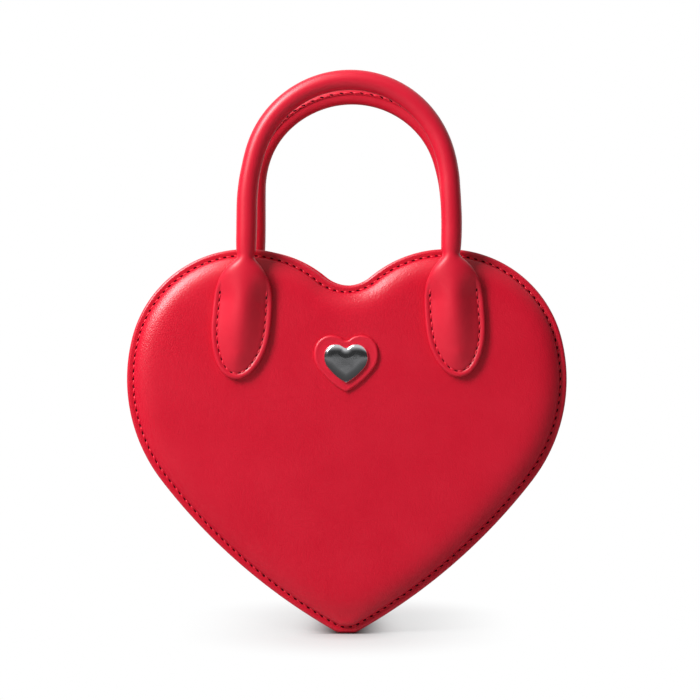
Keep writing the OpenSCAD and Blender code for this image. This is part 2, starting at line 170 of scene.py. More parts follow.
# %% [markdown]
# ## Making a skin
# Most pieces here are lofts: a row of closed sections joined one to the next. One helper
# builds them all. It welds points that fall together, so a ring that shrinks to a point closes
# the skin, turns the faces outwards, and keeps corners crisp. It also writes a UV map in
# metres, which runs along and across the piece, for cloth that follows the surface. A second
# helper settles the piece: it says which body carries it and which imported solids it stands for.
# The front and rear are mirror images, so most pieces are made in a loop over both sides.


# %% Settling a piece
SIDES = (("front", -1, "front_shell"), ("rear", 1, "root"))
LOOKS = {}  # the finishes of each slot, filled once the materials are made


def settle(piece, body, slot_name, *nodes, to=None, start=None, end=None, fill=None):
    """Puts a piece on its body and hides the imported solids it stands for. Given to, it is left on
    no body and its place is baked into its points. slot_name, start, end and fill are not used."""
    if to:
        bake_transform(piece)
    else:
        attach(piece, body)
    if nodes:
        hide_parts(*nodes)
    return piece


# %% Loft helper
WELD, WELD_SOLID = 2e-7, 2e-6


def finish_mesh(name, bm, materials, crease=40):
    """Welds the points, turns the faces outwards and keeps edges crisp above an angle."""
    bmesh.ops.remove_doubles(bm, verts=bm.verts, dist=WELD)
    bmesh.ops.recalc_face_normals(bm, faces=bm.faces)
    mesh = bpy.data.meshes.new(name)
    bm.to_mesh(mesh)
    bm.free()
    for material in materials:
        mesh.materials.append(material)
    mesh.shade_smooth()
    mesh.set_sharp_from_angle(angle=math.radians(crease))
    return add_object(name, mesh)


def steps_along(grid, axis):
    """How far along a grid of points each row or column is, on average."""
    steps = np.linalg.norm(np.diff(grid, axis=axis), axis=2).mean(1 - axis)
    return np.concatenate([[0], np.cumsum(steps)])


def loft(name, sections, body, slot_name, *nodes, finish=None, wrap=False, closed=True, crease=40, **held):
    """Joins sections (sections, points, 3) in millimetres and settles the piece. wrap joins the
    last section to the first, and closed joins the last point of each to its first."""
    grid = np.asarray(sections, float) * MM
    rows, cols = grid.shape[:2]
    along, across = steps_along(grid, 0), steps_along(grid, 1)
    bm = bmesh.new()
    uv = bm.loops.layers.uv.new("UVMap")
    verts = [[bm.verts.new(p) for p in row] for row in grid]
    for i in range(rows if wrap else rows - 1):
        k = (i + 1) % rows
        low, high = along[i], along[min(i + 1, rows - 1)]
        for j in range(cols if closed else cols - 1):
            n = (j + 1) % cols
            face = bm.faces.new((verts[i][j], verts[i][n], verts[k][n], verts[k][j]))
            near, far = across[j], across[n] if n else across[-1] + MM
            for loop, place in zip(face.loops, ((low, near), (low, far), (high, far), (high, near))):
                loop[uv].uv = place
    if closed and not wrap:
        for row in (verts[0], verts[-1]):
            if (row[0].co - row[cols // 2].co).length > 1e-6:
                bm.faces.new(row)
    piece = finish_mesh(name, bm, finish or LOOKS[slot_name], crease)
    return settle(piece, body, slot_name, *nodes, **held)


# %% [markdown]
# ## Shared effects
# Leather shows a fine pebbled grain, a slower unevenness from the hide, and a slight change of
# colour. Several leathers here use it, so it is one node group that puts out a height, a tint
# mask and a roughness mask. Each material places the group with its own sizes. The same goes
# for the twill of the cloths and the fine scratches of the polished metal.


# %% Node helpers
def wire(tree, made, **inputs):
    """Fills a node's inputs, given by name or as n0, n1 by number: a socket is linked and a
    value is set."""
    for key, value in inputs.items():
        socket = made.inputs[int(key[1:]) if key[1:].isdigit() else key.replace("_", " ")]
        if isinstance(value, bpy.types.NodeSocket):
            tree.links.new(value, socket)
        else:
            socket.default_value = value


def node(tree, kind, settings=None, **inputs):
    """Adds a node with its settings and inputs, and returns its outputs."""
    made = tree.nodes.new(kind)
    for key, value in (settings or {}).items():
        setattr(made, key, value)
    wire(tree, made, **inputs)
    return made.outputs


def maths(tree, operation, a, b=0.0, c=0.0):
    return node(tree, "ShaderNodeMath", {"operation": operation}, n0=a, n1=b, n2=c)[0]


def mapped(tree, value, low, high, to_low=0.0, to_high=1.0, kind="LINEAR"):
    return node(tree, "ShaderNodeMapRange", {"interpolation_type": kind}, n0=value, n1=low, n2=high,
                n3=to_low, n4=to_high)[0]


def mixed(tree, share, low, high):
    return node(tree, "ShaderNodeMix", {"data_type": "FLOAT"}, n0=share, n2=low, n3=high)[0]


def place_in(tree, system="Object"):
    return node(tree, "ShaderNodeTexCoord")[system]


def axes(tree, vector):
    return node(tree, "ShaderNodeSeparateXYZ", n0=vector)


def noise(tree, where, scale, detail=2.0, rough=0.5):
    return node(tree, "ShaderNodeTexNoise", Vector=where, Scale=scale, Detail=detail, Roughness=rough)


def new_group(name, sizes, masks):
    """A shader node group with sizes as inputs and masks as outputs, and its two end nodes."""
    tree = bpy.data.node_groups.new(name, "ShaderNodeTree")
    for label, value in sizes.items():
        tree.interface.new_socket(label, in_out="INPUT", socket_type="NodeSocketFloat").default_value = value
    for label in masks:
        tree.interface.new_socket(label, in_out="OUTPUT", socket_type="NodeSocketFloat")
    return tree, tree.nodes.new("NodeGroupInput").outputs, tree.nodes.new("NodeGroupOutput")


# %% Leather grain group
tree, given, result = new_group(
    "Leather grain", {"Pebble size": 0.0007, "Hide size": 0.02, "Pebble depth": 1.0, "Hide depth": 1.0},
    ["Height", "Tint", "Gloss"])
where = place_in(tree)
scale = maths(tree, "DIVIDE", 1.0, given["Pebble size"])
stir = noise(tree, where, maths(tree, "MULTIPLY", scale, 0.5))["Color"]
stirred = node(tree, "ShaderNodeMix", {"data_type": "VECTOR"}, n0=0.0006, n4=where, n5=stir)[1]
pebbles = node(tree, "ShaderNodeTexVoronoi", {"feature": "SMOOTH_F1"}, Vector=stirred, Scale=scale,
               Smoothness=0.6)["Distance"]
fine = noise(tree, where, scale, 3.0, 0.6)["Fac"]
hide = noise(tree, where, maths(tree, "DIVIDE", 1.0, given["Hide size"]), 3.0)["Fac"]
raised = maths(tree, "MULTIPLY", maths(tree, "SUBTRACT", 0.6, pebbles), given["Pebble depth"])
grain = maths(tree, "MULTIPLY_ADD", fine, 0.45, raised)
slow = maths(tree, "MULTIPLY", hide, given["Hide depth"])
wire(tree, result, Height=maths(tree, "MULTIPLY_ADD", slow, 3.0, grain),
     Tint=mapped(tree, hide, 0.3, 0.7),
     Gloss=mapped(tree, maths(tree, "MULTIPLY_ADD", fine, 0.5, hide), 0.5, 1.0))
leather_grain = tree
print("group:", leather_grain.name, len(leather_grain.nodes), "nodes")

# %% Twill weave group
TAPE_FOLD = 0.0016
tree, given, result = new_group("Twill weave", {"Rib size": 0.0006, "Steepness": 1.0, "Turn over": 0.0},
                                ["Height", "Tint"])
parts = axes(tree, place_in(tree, "UV"))
u, v = parts[0], parts[1]
v_used = mixed(tree, given["Turn over"], v, maths(tree, "PINGPONG", v, TAPE_FOLD))


def ribs(along):
    """A wave of ribs, one rib size apart along the given measure."""
    angle = maths(tree, "MULTIPLY", along, 2 * math.pi)
    return maths(tree, "SINE", maths(tree, "DIVIDE", angle, given["Rib size"]))


rib = ribs(maths(tree, "MULTIPLY_ADD", v_used, given["Steepness"], u))
cross = ribs(maths(tree, "SUBTRACT", v_used, u))
yarn = mapped(tree, maths(tree, "MULTIPLY_ADD", cross, 0.35, rib), -1.35, 1.35)
fuzz = noise(tree, place_in(tree), 900.0, 3.0)["Fac"]
wire(tree, result, Height=yarn, Tint=maths(tree, "MULTIPLY", yarn, fuzz))
twill = tree

# %% Polished metal group
tree, given, result = new_group("Handled metal", {"Smudge size": 0.004, "Scratch size": 0.0004},
                                ["Smudge", "Scratch"])
place = place_in(tree)
smudge = noise(tree, place, maths(tree, "DIVIDE", 1.0, given["Smudge size"]))["Fac"]
drawn = node(tree, "ShaderNodeMapping", Vector=place, Scale=(0.15, 1.0, 1.0), Rotation=(0.4, 0.9, 0.2))[0]
scratch = noise(tree, drawn, maths(tree, "DIVIDE", 1.0, given["Scratch size"]))["Fac"]
wire(tree, result, Smudge=mapped(tree, smudge, 0.35, 0.7), Scratch=mapped(tree, scratch, 0.4, 0.75))
handled = tree
print("groups:", [g.name for g in bpy.data.node_groups])

# %% [markdown]
# ## The finishes
# The leather is a saturated red with a soft, half-matt coat: broad pale highlights, no mirror
# image. Red leather drinks green and blue light, so its base colour keeps those channels very
# low. The dyed edges are smoother than the leather. The thread is a little lighter than the
# leather, and the needle holes are coloured almost black, a painted shade for the hollow of each hole.


# %% Material helpers
def new_material(name):
    material = bpy.data.materials.new(name)
    material.use_nodes = True
    return material, material.node_tree, material.node_tree.nodes["Principled BSDF"]


def colour_between(tree, mask, low, high):
    return node(tree, "ShaderNodeMix", {"data_type": "RGBA"}, n0=mask, n6=(*low, 1), n7=(*high, 1))[2]


def bumped(tree, height, depth, strength=1.0):
    """The normal of a relief, depth millimetres deep."""
    return node(tree, "ShaderNodeBump", Strength=strength, Distance=depth * MM, Height=height)[0]


def leather(name, low, high, pebble=0.0007, depth=0.05, rough=(0.33, 0.40), specular=0.45, hide_depth=1.0):
    material, tree, shader = new_material(name)
    grain = node(tree, "ShaderNodeGroup", {"node_tree": leather_grain}, Pebble_size=pebble, Hide_size=0.022,
                 Pebble_depth=1.0, Hide_depth=hide_depth)
    wire(tree, shader, Base_Color=colour_between(tree, grain["Tint"], low, high), Specular_IOR_Level=specular,
         Roughness=mapped(tree, grain["Gloss"], 0, 1, *rough), Normal=bumped(tree, grain["Height"], depth))
    return material


def cloth(name, low, high, rib, steep=1.0, turn_over=0.0):
    material, tree, shader = new_material(name)
    weave = node(tree, "ShaderNodeGroup", {"node_tree": twill}, Rib_size=rib, Steepness=steep,
                 Turn_over=turn_over)
    wire(tree, shader, Base_Color=colour_between(tree, weave["Tint"], low, high), Roughness=0.8,
         Sheen_Weight=0.3, Normal=bumped(tree, weave["Height"], 0.12, 0.8))
    return material


def metal(name, colour, rough):
    material, tree, shader = new_material(name)
    wear = node(tree, "ShaderNodeGroup", {"node_tree": handled})
    wire(tree, shader, Base_Color=colour_between(tree, wear["Smudge"], colour, [c * 0.93 for c in colour]),
         Roughness=mapped(tree, wear["Smudge"], 0, 1, *rough), Metallic=1.0,
         Normal=bumped(tree, wear["Scratch"], 0.01, 0.15))
    return material


def speckled(name, low, high, size, rough=0.85, depth=0.2, specular=0.5):
    material, tree, shader = new_material(name)
    cells = noise(tree, place_in(tree), 1 / size, 4.0)["Fac"]
    wire(tree, shader, Base_Color=colour_between(tree, mapped(tree, cells, 0.35, 0.65), low, high),
         Roughness=rough, Specular_IOR_Level=specular, Normal=bumped(tree, cells, depth, 0.5))
    return material


# %% The materials
panel_leather = leather("panel leather", (0.60, 0.0022, 0.021), (0.63, 0.0030, 0.0235), depth=0.075,
                        rough=(0.31, 0.37), specular=0.5, hide_depth=0.25)
handle_leather = leather("handle leather", (0.65, 0.0022, 0.024), (0.69, 0.0030, 0.027), pebble=0.0006,
                         depth=0.006, rough=(0.37, 0.43), specular=0.62, hide_depth=0.1)
gusset_leather = leather("gusset leather", (0.54, 0.006, 0.024), (0.60, 0.0075, 0.028))
edge_dye = leather("dyed edge", (0.60, 0.0065, 0.027), (0.65, 0.0078, 0.031), pebble=0.0012, depth=0.03,
                   rough=(0.28, 0.38), specular=0.55)
thread_red = speckled("thread", (0.74, 0.006, 0.03), (0.88, 0.014, 0.05), 0.0003, rough=0.45, depth=0.05)
# The needle holes' near-black colour is painted shade for the hollow of each hole.
hole_painted_shade = speckled("needle hole", (0.030, 0.001, 0.003), (0.05, 0.002, 0.005), 0.0005, rough=0.9,
                     depth=0.05, specular=0.05)
lining_cloth = cloth("lining cloth", (0.13, 0.006, 0.012), (0.26, 0.014, 0.026), 0.0009)
tape_cloth = cloth("zip tape", (0.30, 0.006, 0.02), (0.50, 0.014, 0.04), 0.0008, steep=1.4, turn_over=1.0)
zip_metal = metal("zip metal", (0.62, 0.62, 0.64), (0.14, 0.28))
badge_metal = metal("badge metal", (0.90, 0.91, 0.94), (0.10, 0.17))
board_grey = speckled("board", (0.24, 0.22, 0.20), (0.32, 0.30, 0.28), 0.002)
foam_white = speckled("foam", (0.72, 0.69, 0.63), (0.84, 0.81, 0.76), 0.0009, depth=0.4)
cord_cotton = speckled("cord cotton", (0.60, 0.56, 0.50), (0.74, 0.70, 0.64), 0.0008, depth=0.3)
LOOKS.update(
    panel_leather=[panel_leather, edge_dye], handle_leather=[handle_leather], gusset_leather=[gusset_leather],
    lining_cloth=[lining_cloth], zip_tape=[tape_cloth], zip_metal=[zip_metal], badge_metal=[badge_metal],
    foam=[foam_white], cord=[cord_cotton])
print("materials:", len(bpy.data.materials))

# %% [markdown]
# ## The padded panels
# Each panel is leather moulded over foam and a stiff board. From its edge inwards it has a
# rounded dyed rim, a crease, a flat border, a dip where the seam pulls the leather down, and
# then the padded shoulder that flattens into the face. The leather is taut over its board, so
# the shape follows a rule rather than hanging freely, and a profile carried round the outline
# gives it exactly. A slow wave of a tenth of a millimetre keeps the face from looking cast.

# %% Panel profile
SEAM_IN = 3.3
RIM = [(0, 32.4), (0, 32.95), (0.08, 33.28), (0.28, 33.55), (0.55, 33.74), (0.85, 33.91), (1.1, 34.01),
       (1.35, 34.05), (1.65, 34.05), (2.0, 34.02), (2.4, 33.96), (2.8, 33.87), (3.1, 33.79), (SEAM_IN, 33.77),
       (3.5, 33.88), (3.64, 34.3), (3.74, 34.8), (3.86, 35.3), (4.02, 35.75), (4.2, 36.08)]
SHOULDER_FROM, SHOULDER_Y, SHOULDER_RUN, SHOULDER_POWER, RIDGE, WAVE = 4.4, 36.3, 20, 4.4, 5.0, 0.08
SHOULDER_STEPS = np.array([0.03, 0.07, 0.12, 0.18, 0.25, 0.33, 0.42, 0.52, 0.63, 0.75, 0.88, 1])
FACE_CENTRE = np.array([0, 116])
LEATHER_UNDER, FOAM_UNDER = (1.2, 1.4), (1.8, 1.75)
DYED_FROM, DYED_TO, PADDING = 32.45 * MM, 34.0 * MM, 0.9


def shoulder(d, under=(0, 0)):
    """How far the face stands from the bag's middle at inset d. under is how far in and how
    deep a layer lies below the leather's outer side."""
    u = np.clip((d - under[0] - SHOULDER_FROM) / SHOULDER_RUN, 0, 1)
    return SHOULDER_Y + (PANEL_FACE - SHOULDER_Y) * (1 - (1 - u) ** SHOULDER_POWER) - under[1]


def from_edge(line, d):
    """The inset that a height goes by. Near the tip both flanks count, so that the two shoulders
    run into each other softly and not in a fold."""
    right, left = (FLANK_R - np.hypot(line[:, 0] - side * flank_c[0], line[:, 1] - flank_c[1])
                   for side in (1, -1))
    both = np.minimum(right, left) - RIDGE * np.log1p(np.exp(-np.abs(right - left) / RIDGE))
    return d + (both - d) * smooth_share((d - SHOULDER_FROM) / 6) * smooth_share((70 - line[:, 1]) / 25)


def slow_wave(line, amount):
    """The face's small unevenness at the places of a line."""
    x, z = line[:, 0], line[:, 1]
    return amount * (np.sin(x / 17 + 1.3 * np.sin(z / 31)) * np.sin(z / 21 + 0.8)
                     + 0.6 * np.sin((x + z) / 11 + 2))


def face_rings(from_d, under=(0, 0)):
    """Rings from a shoulder's start to the middle of the face."""
    rings = []
    for d in [*(SHOULDER_FROM + SHOULDER_RUN * SHOULDER_STEPS), 25, 30, 36, 43, 50]:
        if d > from_d:
            line = ring(d)
            wave = slow_wave(line, min(WAVE * (d - 4) / 21, WAVE))
            rings.append(at_y(line, -(shoulder(from_edge(line, d), under) + wave)))
    for share in (0.75, 0.5, 0.25, 0):
        small = shrunk(line, share, FACE_CENTRE)
        rings.append(at_y(small, -(shoulder(50, under) + slow_wave(small, WAVE))))
    return rings


panel_rings = np.array(face_rings(6, LEATHER_UNDER)[::-1] + [at_y(ring(6.0), -LIP_BACK)]
                       + [at_y(ring(d), -v) for d, v in RIM] + face_rings(4))
foam_rings = np.array([at_y(shrunk(ring(50), share, FACE_CENTRE), -LIP_BACK - 0.1) for share in (0, 0.5, 1)]
                      + [at_y(ring(d), -LIP_BACK - 0.1) for d in (30, 15, 7)] + face_rings(7, FOAM_UNDER))
print("panel:", panel_rings.shape)


# %% Build the panels and their foam
def depth_part(mesh, what):
    """The size of each face's share along Y, of its centre or its normal."""
    values = np.empty(len(mesh.polygons) * 3)
    mesh.polygons.foreach_get(what, values)
    return np.abs(values.reshape(-1, 3)[:, 1])


for side, sign, body in SIDES:
    skin = loft(side + "_panel_skin", panel_rings * [1, -sign, 1], body, "panel_leather", side + "_panel",
                fill=PADDING)
    depth, facing = (depth_part(skin.data, what) for what in ("center", "normal"))
    dyed = (depth > DYED_FROM) & (depth < DYED_TO) & (facing < 0.9)
    skin.data.polygons.foreach_set("material_index", dyed.astype(int))
for side, sign, body in SIDES:
    loft(side + "_foam_pad", foam_rings * [1, -sign, 1], body, "foam", side + "_foam", fill=PADDING)
print("panels:", len(skin.data.polygons), "faces each")

# %% [markdown]
# ## Stitches and needle holes
# A seam is a row of short threads that dive into holes. Both repeat along a path, so Geometry
# Nodes make them: the path is resampled at the stitch pitch, and a short bent tube or a small
# near-black pit, painted shade for the hollow of a hole, is placed at each point, turned along
# the path and away from the leather. The path carries a vector that points away from the
# leather, because a curve alone doesn't know it.


# %% A row along a path
def row_tree(name, sizes, build):
    """A tree that places what build() makes along a path, at its pitch, and gives it a finish."""
    tree = bpy.data.node_groups.new(name, "GeometryNodeTree")
    sockets = {"Path": "NodeSocketGeometry", **{label: "NodeSocketFloat" for label in sizes},
               "Piece": "NodeSocketObject", "Finish": "NodeSocketMaterial"}
    for label, kind in sockets.items():
        socket = tree.interface.new_socket(label, in_out="INPUT", socket_type=kind)
        if label in sizes:
            socket.default_value = sizes[label]
    tree.interface.new_socket("Row", in_out="OUTPUT", socket_type="NodeSocketGeometry")
    given, result = tree.nodes.new("NodeGroupInput").outputs, tree.nodes.new("NodeGroupOutput")
    curve = node(tree, "GeometryNodeMeshToCurve", Mesh=given["Path"])[0]
    spaced = node(tree, "GeometryNodeResampleCurve", {"mode": "LENGTH"}, Curve=curve,
                  Length=given["Pitch"])[0]
    away = node(tree, "GeometryNodeInputNamedAttribute", {"data_type": "FLOAT_VECTOR"}, Name="away")[0]
    along = node(tree, "GeometryNodeInputTangent")[0]
    turned = node(tree, "FunctionNodeAxesToRotation", {"primary_axis": "Z", "secondary_axis": "X"},
                  n0=away, n1=along)[0]
    copies = node(tree, "GeometryNodeInstanceOnPoints", Points=spaced, Instance=build(tree, given),
                  Rotation=turned)[0]
    real = node(tree, "GeometryNodeRealizeInstances", Geometry=copies)[0]
    done = node(tree, "GeometryNodeSetMaterial", Geometry=real, Material=given["Finish"])[0]
    wire(tree, result, Row=done)
    return tree


def vector_of(tree, x=0.0, y=0.0, z=0.0):
    """Puts three numbers together into one vector."""
    return node(tree, "ShaderNodeCombineXYZ", n0=x, n1=y, n2=z)[0]


def bent_thread(tree, given):
    """A short tube that bows over the leather and dives at both ends."""
    half, skew = maths(tree, "MULTIPLY", given["Length"], 0.5), given["Slant"]
    back, aside, down = (maths(tree, "MULTIPLY", size, -1.0) for size in (half, skew, given["Dive"]))
    middle = vector_of(tree, z=maths(tree, "MULTIPLY", given["Rise"], 2.0))
    start, end = vector_of(tree, back, aside, down), vector_of(tree, half, skew, down)
    bow = node(tree, "GeometryNodeCurveQuadraticBezier", Resolution=6, Start=start, Middle=middle, End=end)[0]
    thick = node(tree, "GeometryNodeCurvePrimitiveCircle", Resolution=6, Radius=given["Thread radius"])[0]
    return node(tree, "GeometryNodeCurveToMesh", n0=bow, n1=thick, Fill_Caps=True)[0]


def dark_pit(tree, given):
    """A needle hole: a flattened ball sunk to its middle, which its near-black finish makes a painted shade.
    """
    ball = node(tree, "GeometryNodeMeshUVSphere", Segments=8, Rings=4, Radius=1.0)[0]
    size = vector_of(tree, given["Length"], given["Width"], given["Height"])
    return node(tree, "GeometryNodeTransform", Geometry=ball, Scale=size,
                Rotation=vector_of(tree, z=given["Turn"]))[0]


def given_piece(tree, given):
    """The piece that the row is told to repeat."""
    return node(tree, "GeometryNodeObjectInfo", Object=given["Piece"], As_Instance=True)["Geometry"]


stitch_tree = row_tree("Stitch row", {"Pitch": 0.00345, "Length": 0.0024, "Thread radius": 0.0003,
                                      "Rise": 0.0002, "Dive": 0.0003, "Slant": 0.0001}, bent_thread)
hole_tree = row_tree("Needle hole row", {"Pitch": 0.00345, "Length": 0.0006, "Width": 0.0004,
                                         "Height": 0.0002, "Turn": -0.3}, dark_pit)
piece_tree = row_tree("Row of pieces", {"Pitch": 0.003}, given_piece)


# %% Rows as plain meshes
def plain_row(tree, path, away, pitch, finish, closed=False, piece=None, **sizes):
    """Makes one row along a path in millimetres and returns it as a plain mesh."""
    n = len(path)
    mesh = bpy.data.meshes.new("row")
    edges = [(i, (i + 1) % n) for i in range(n if closed else n - 1)]
    mesh.from_pydata((np.asarray(path) * MM).tolist(), edges, [])
    pointing = mesh.attributes.new("away", "FLOAT_VECTOR", "POINT")
    pointing.data.foreach_set("vector", np.asarray(away, np.float32).ravel())
    holder = add_object("row", mesh)
    modifier = holder.modifiers.new("row", "NODES")
    modifier.node_group = tree
    ids = {s.name: s.identifier for s in tree.interface.items_tree if s.in_out == "INPUT"}
    sizes["Pitch"] = pitch * 0.9999
    values = {label.replace("_", " "): size * MM for label, size in sizes.items()}
    for label, value in {**values, "Finish": finish, "Piece": piece}.items():
        if value is not None:
            modifier[ids[label]] = value
    done = bpy.data.meshes.new_from_object(holder.evaluated_get(bpy.context.evaluated_depsgraph_get()))
    bpy.data.objects.remove(holder)
    done.materials.clear()
    done.materials.append(finish)
    return done


def join_rows(name, meshes, *place, **held):
    """Joins plain row meshes into one piece and settles it."""
    bm = bmesh.new()
    finishes = list(dict.fromkeys(mesh.materials[0] for mesh in meshes))
    for mesh in meshes:
        number = finishes.index(mesh.materials[0])
        mesh.polygons.foreach_set("material_index", [number] * len(mesh.polygons))
        bm.from_mesh(mesh)
        bpy.data.meshes.remove(mesh)
    joined = bpy.data.meshes.new(name)
    bm.to_mesh(joined)
    bm.free()
    for finish in finishes:
        joined.materials.append(finish)
    joined.shade_smooth()
    if "away" in joined.attributes:
        joined.attributes.remove(joined.attributes["away"])
    return settle(add_object(name, joined), *place, **held)


STITCH, THREAD_R = 3.95, 0.33


def seam(path, away, pitch=STITCH, length=2.3, hole=(1.05, 0.58), closed=False):
    """Threads and holes along one path; the holes sit half a pitch from the threads."""
    path, away = np.asarray(path, float), np.asarray(away, float)
    if closed:
        path, away = np.vstack([path, path[:1]]), np.vstack([away, away[:1]])
    steps = np.concatenate([[0], np.cumsum(np.linalg.norm(np.diff(path, axis=0), axis=1))])
    total = steps[-1]
    count = int(round(total / pitch))
    pitch = total / count

    def row(tree, finish, offset, lift, **sizes):
        if closed:
            wanted = (np.arange(count * 4) / 4 * pitch + offset) % total
        else:
            wanted = np.linspace(pitch / 2 + offset, total - pitch / 2 + offset, count * 4 + 1)
        line, normal = (np.column_stack([np.interp(wanted, steps, values[:, i]) for i in range(3)])
                        for values in (path, away))
        return plain_row(tree, line + normal * lift, normal, pitch, finish, closed=closed, **sizes)

    return [row(stitch_tree, thread_red, 0, THREAD_R * 0.35, Length=length, Thread_radius=THREAD_R, Rise=0.3,
                Dive=0.35, Slant=-0.2),
            row(hole_tree, hole_painted_shade, pitch / 2 if closed else -pitch / 2, 0.0, Length=hole[0], Width=hole[1],
                Height=0.2)]


# %% The panels' seams
SEAM_Y, SEAM_BACK_Y = 33.78, 31.02


def panel_seam(sign):
    """Threads and holes on a panel's border, and the small stitches of the same seam behind it."""
    line = at_y(ring(SEAM_IN), sign * SEAM_Y)
    away = np.tile([0, sign, 0], (len(line), 1))
    half = half_line(SEAM_IN)
    under = at_y(np.concatenate([half[::-1] * [-1, 1], half[1:]]), sign * SEAM_BACK_Y)
    inwards = np.tile([0, -sign, 0], (len(under), 1))
    return seam(line, away, closed=True) + seam(under, inwards, hole=(0.5, 0.32))


panel_rows = {side: panel_seam(sign) for side, sign, body in SIDES}
print("seam faces:", sum(len(m.polygons) for m in panel_rows["front"]))

# %% [markdown]
# ## The handles
# Each handle is one skin. Leather is rolled round a cord, and at both ends it opens out into a
# leaf that is padded along its middle, sewn down round its edge and lies on the panel. The skin
# is a loft of half sections. On a leaf a half section runs from the padded middle over the
# seam's groove and the rim to the back, and round the leaf's tip it turns like a clock's hand.
# On the roll it is half a circle, with the edge of the lap on the side that faces the bag.

# %% Sizes of a handle
ARCH_R, ARCH_Z, AXIS_V = 49.96, 224.55, 44.5
LEAF_TOP, LEAF_L, LEAF_W, WIDEST, NECK_R, LEAN = 187.0, 60.0, 14.6, 0.54, 4.15, 4.7
FAN_AT, FAN_RAYS = 45.0, 31
RIM_STEPS = np.array([3.5, 3.15, 2.9, 2.6, 2.2, 1.6, 1.0, 0.5, 0.15, 0.0])
RIM_HIGH = np.array([2.86, 2.55, 2.36, 2.5, 2.72, 2.9, 2.92, 2.78, 2.45, 2.0])
SMOOTH_HIGH = np.array([3.7, 3.55, 3.4, 3.3, 3.15, 2.95, 2.7, 2.4, 2.1, 1.8])
PAD_SHARES = np.array([1, 0.86, 0.72, 0.58, 0.45, 0.32, 0.2, 0.1])
BACK_TURNS = np.array([84, 76, 68, 61, 54, 47, 40, 34, 28, 21, 14, 8, 1.2, 0.0])
TURNS = np.radians(np.concatenate([np.linspace(180, 118, len(PAD_SHARES), endpoint=False),
                                   np.linspace(118, 92, len(RIM_STEPS)), BACK_TURNS]))
GROOVE_AT = len(PAD_SHARES) + 2
LAP_AT = len(PAD_SHARES) + len(RIM_STEPS) + 11
HIGH_T = [-6, 0, 5, 10, 15, 20, 25, 30, 35, 40, 45, 50, 55, 60]
HIGH = [9.1, 9.15, 9.2, 9.2, 9.15, 9.0, 8.7, 8.2, 7.5, 6.7, 5.8, 4.9, 4.0, 2.9]
LEAN_Z = [127, 140, 160, 189, 205, 218, 233, 253, 270, 285]
LEANS = {
    "front": ([0.6, 0.9, 1.05, 1.2, 1.6, 1.3, 1.9, 1.8, 2.0, 2.1],
              [1.0, 0.4, 0.35, 0.7, 0.65, 0.3, -1.15, -0.9, -0.7, -0.6], 0.4, 1.2),
    "rear": ([0.5, 0.7, 1.0, 1.8, 2.1, 1.9, 1.0, 1.05, 1.3, 1.6],
             [0.5, 0.7, 1.0, 1.5, 1.7, 1.5, 0.3, 0.9, 0.8, 0.5], -0.6, 0.0)}


def leaf_half(t):
    """Half of a leaf's width at a length below its neck."""
    u = np.clip(t / LEAF_L, 0, 1)
    upper = NECK_R + (LEAF_W - NECK_R) * (1 - (1 - np.minimum(u, WIDEST) / WIDEST) ** 3.7)
    lower = LEAF_W * np.clip(1 - (np.maximum(u - WIDEST, 0) / (1 - WIDEST)) ** 2, 0, 1) ** 0.5
    return np.where(u < WIDEST, upper, lower)


# %% Half sections
def roll_section(radius, lap, ease):
    """Half of the roll, as (sideways, height over the panel's face) from the front's middle round
    to the back's middle. lap is how far the lap stands out, and ease under 1 flattens the side."""
    bulge = radius + lap * smooth_share((78 - np.degrees(TURNS)) / 40)
    bulge[-1] = radius
    depth = np.cos(TURNS)
    depth = np.where(depth > 0, np.abs(depth) ** ease, depth)
    return np.column_stack([bulge * np.sin(TURNS), AXIS_V - PANEL_FACE - bulge * depth])


def leaf_section(width, high, leaf=1, groove=1):
    """Half of a leaf: its padded middle, the seam's groove, the rim and the back. leaf is 0 where
    it is still an oval neck, and groove is 0 where the rim is still smooth."""
    steps = RIM_STEPS * min(1.0, width / 6.0)
    rim = RIM_HIGH * groove + SMOOTH_HIGH * (1 - groove)
    swell = 0.5 * (1 - (1 - PAD_SHARES) ** 2) + 0.5 * smooth_share(PAD_SHARES)
    edge = BACK_TURNS == BACK_TURNS[0]
    sideways = [(width - steps[0]) * (1 - PAD_SHARES), width - steps,
                width * BACK_TURNS / BACK_TURNS[0] * np.where(edge, 1.0, 0.98)]
    height = [rim[0] + (high - rim[0]) * swell, rim, np.where(edge, 0.5, 0.0)]
    lying = np.column_stack([np.concatenate(sideways), np.concatenate(height)])
    oval = np.column_stack([width * np.sin(TURNS), (high + 0.3) / 2 - (high - 0.3) / 2 * np.cos(TURNS)])
    return oval * (1 - leaf) + lying * leaf


# %% Stations along a handle
def evened(values, spread, reach):
    """Values in a row, each mixed with its neighbours by a bell curve."""
    bell = np.exp(-0.5 * (np.arange(-reach, reach + 1) / spread) ** 2)
    return np.convolve(np.pad(values, reach, "edge"), bell / bell.sum(), "valid")


def half_handle():
    """Stations from the left leaf's fan to the top of the arch: the place c on the middle line,
    the outward side, the length t below the neck and the half width w."""
    t = np.linspace(LEAF_TOP - ARCH_Z, FAN_AT, 112)
    lean = np.radians(LEAN) * smooth_share((t + 6) / 12)
    step = np.diff(t, prepend=t[0])
    x, z = -ARCH_R - np.cumsum(step * np.sin(lean)), ARCH_Z - np.cumsum(step * np.cos(lean))
    fine_t = np.arange(t[0] - 4, FAN_AT + 4, 0.25)
    width = np.interp(t, fine_t, evened(leaf_half(fine_t), 3.6, 8))
    side = np.column_stack([-np.cos(lean), np.sin(lean)])
    stations = [dict(c=np.array([a, b]), side=s, t=q, w=w) for a, b, s, q, w in zip(x, z, side, t, width)]
    stations.reverse()
    for turn in np.radians(np.arange(178.2, 89.9, -1.8)):
        side = np.array([math.cos(turn), math.sin(turn)])
        stations.append(dict(c=[0, ARCH_Z] + ARCH_R * side, side=side, t=-100.0, w=5.0))
    return stations


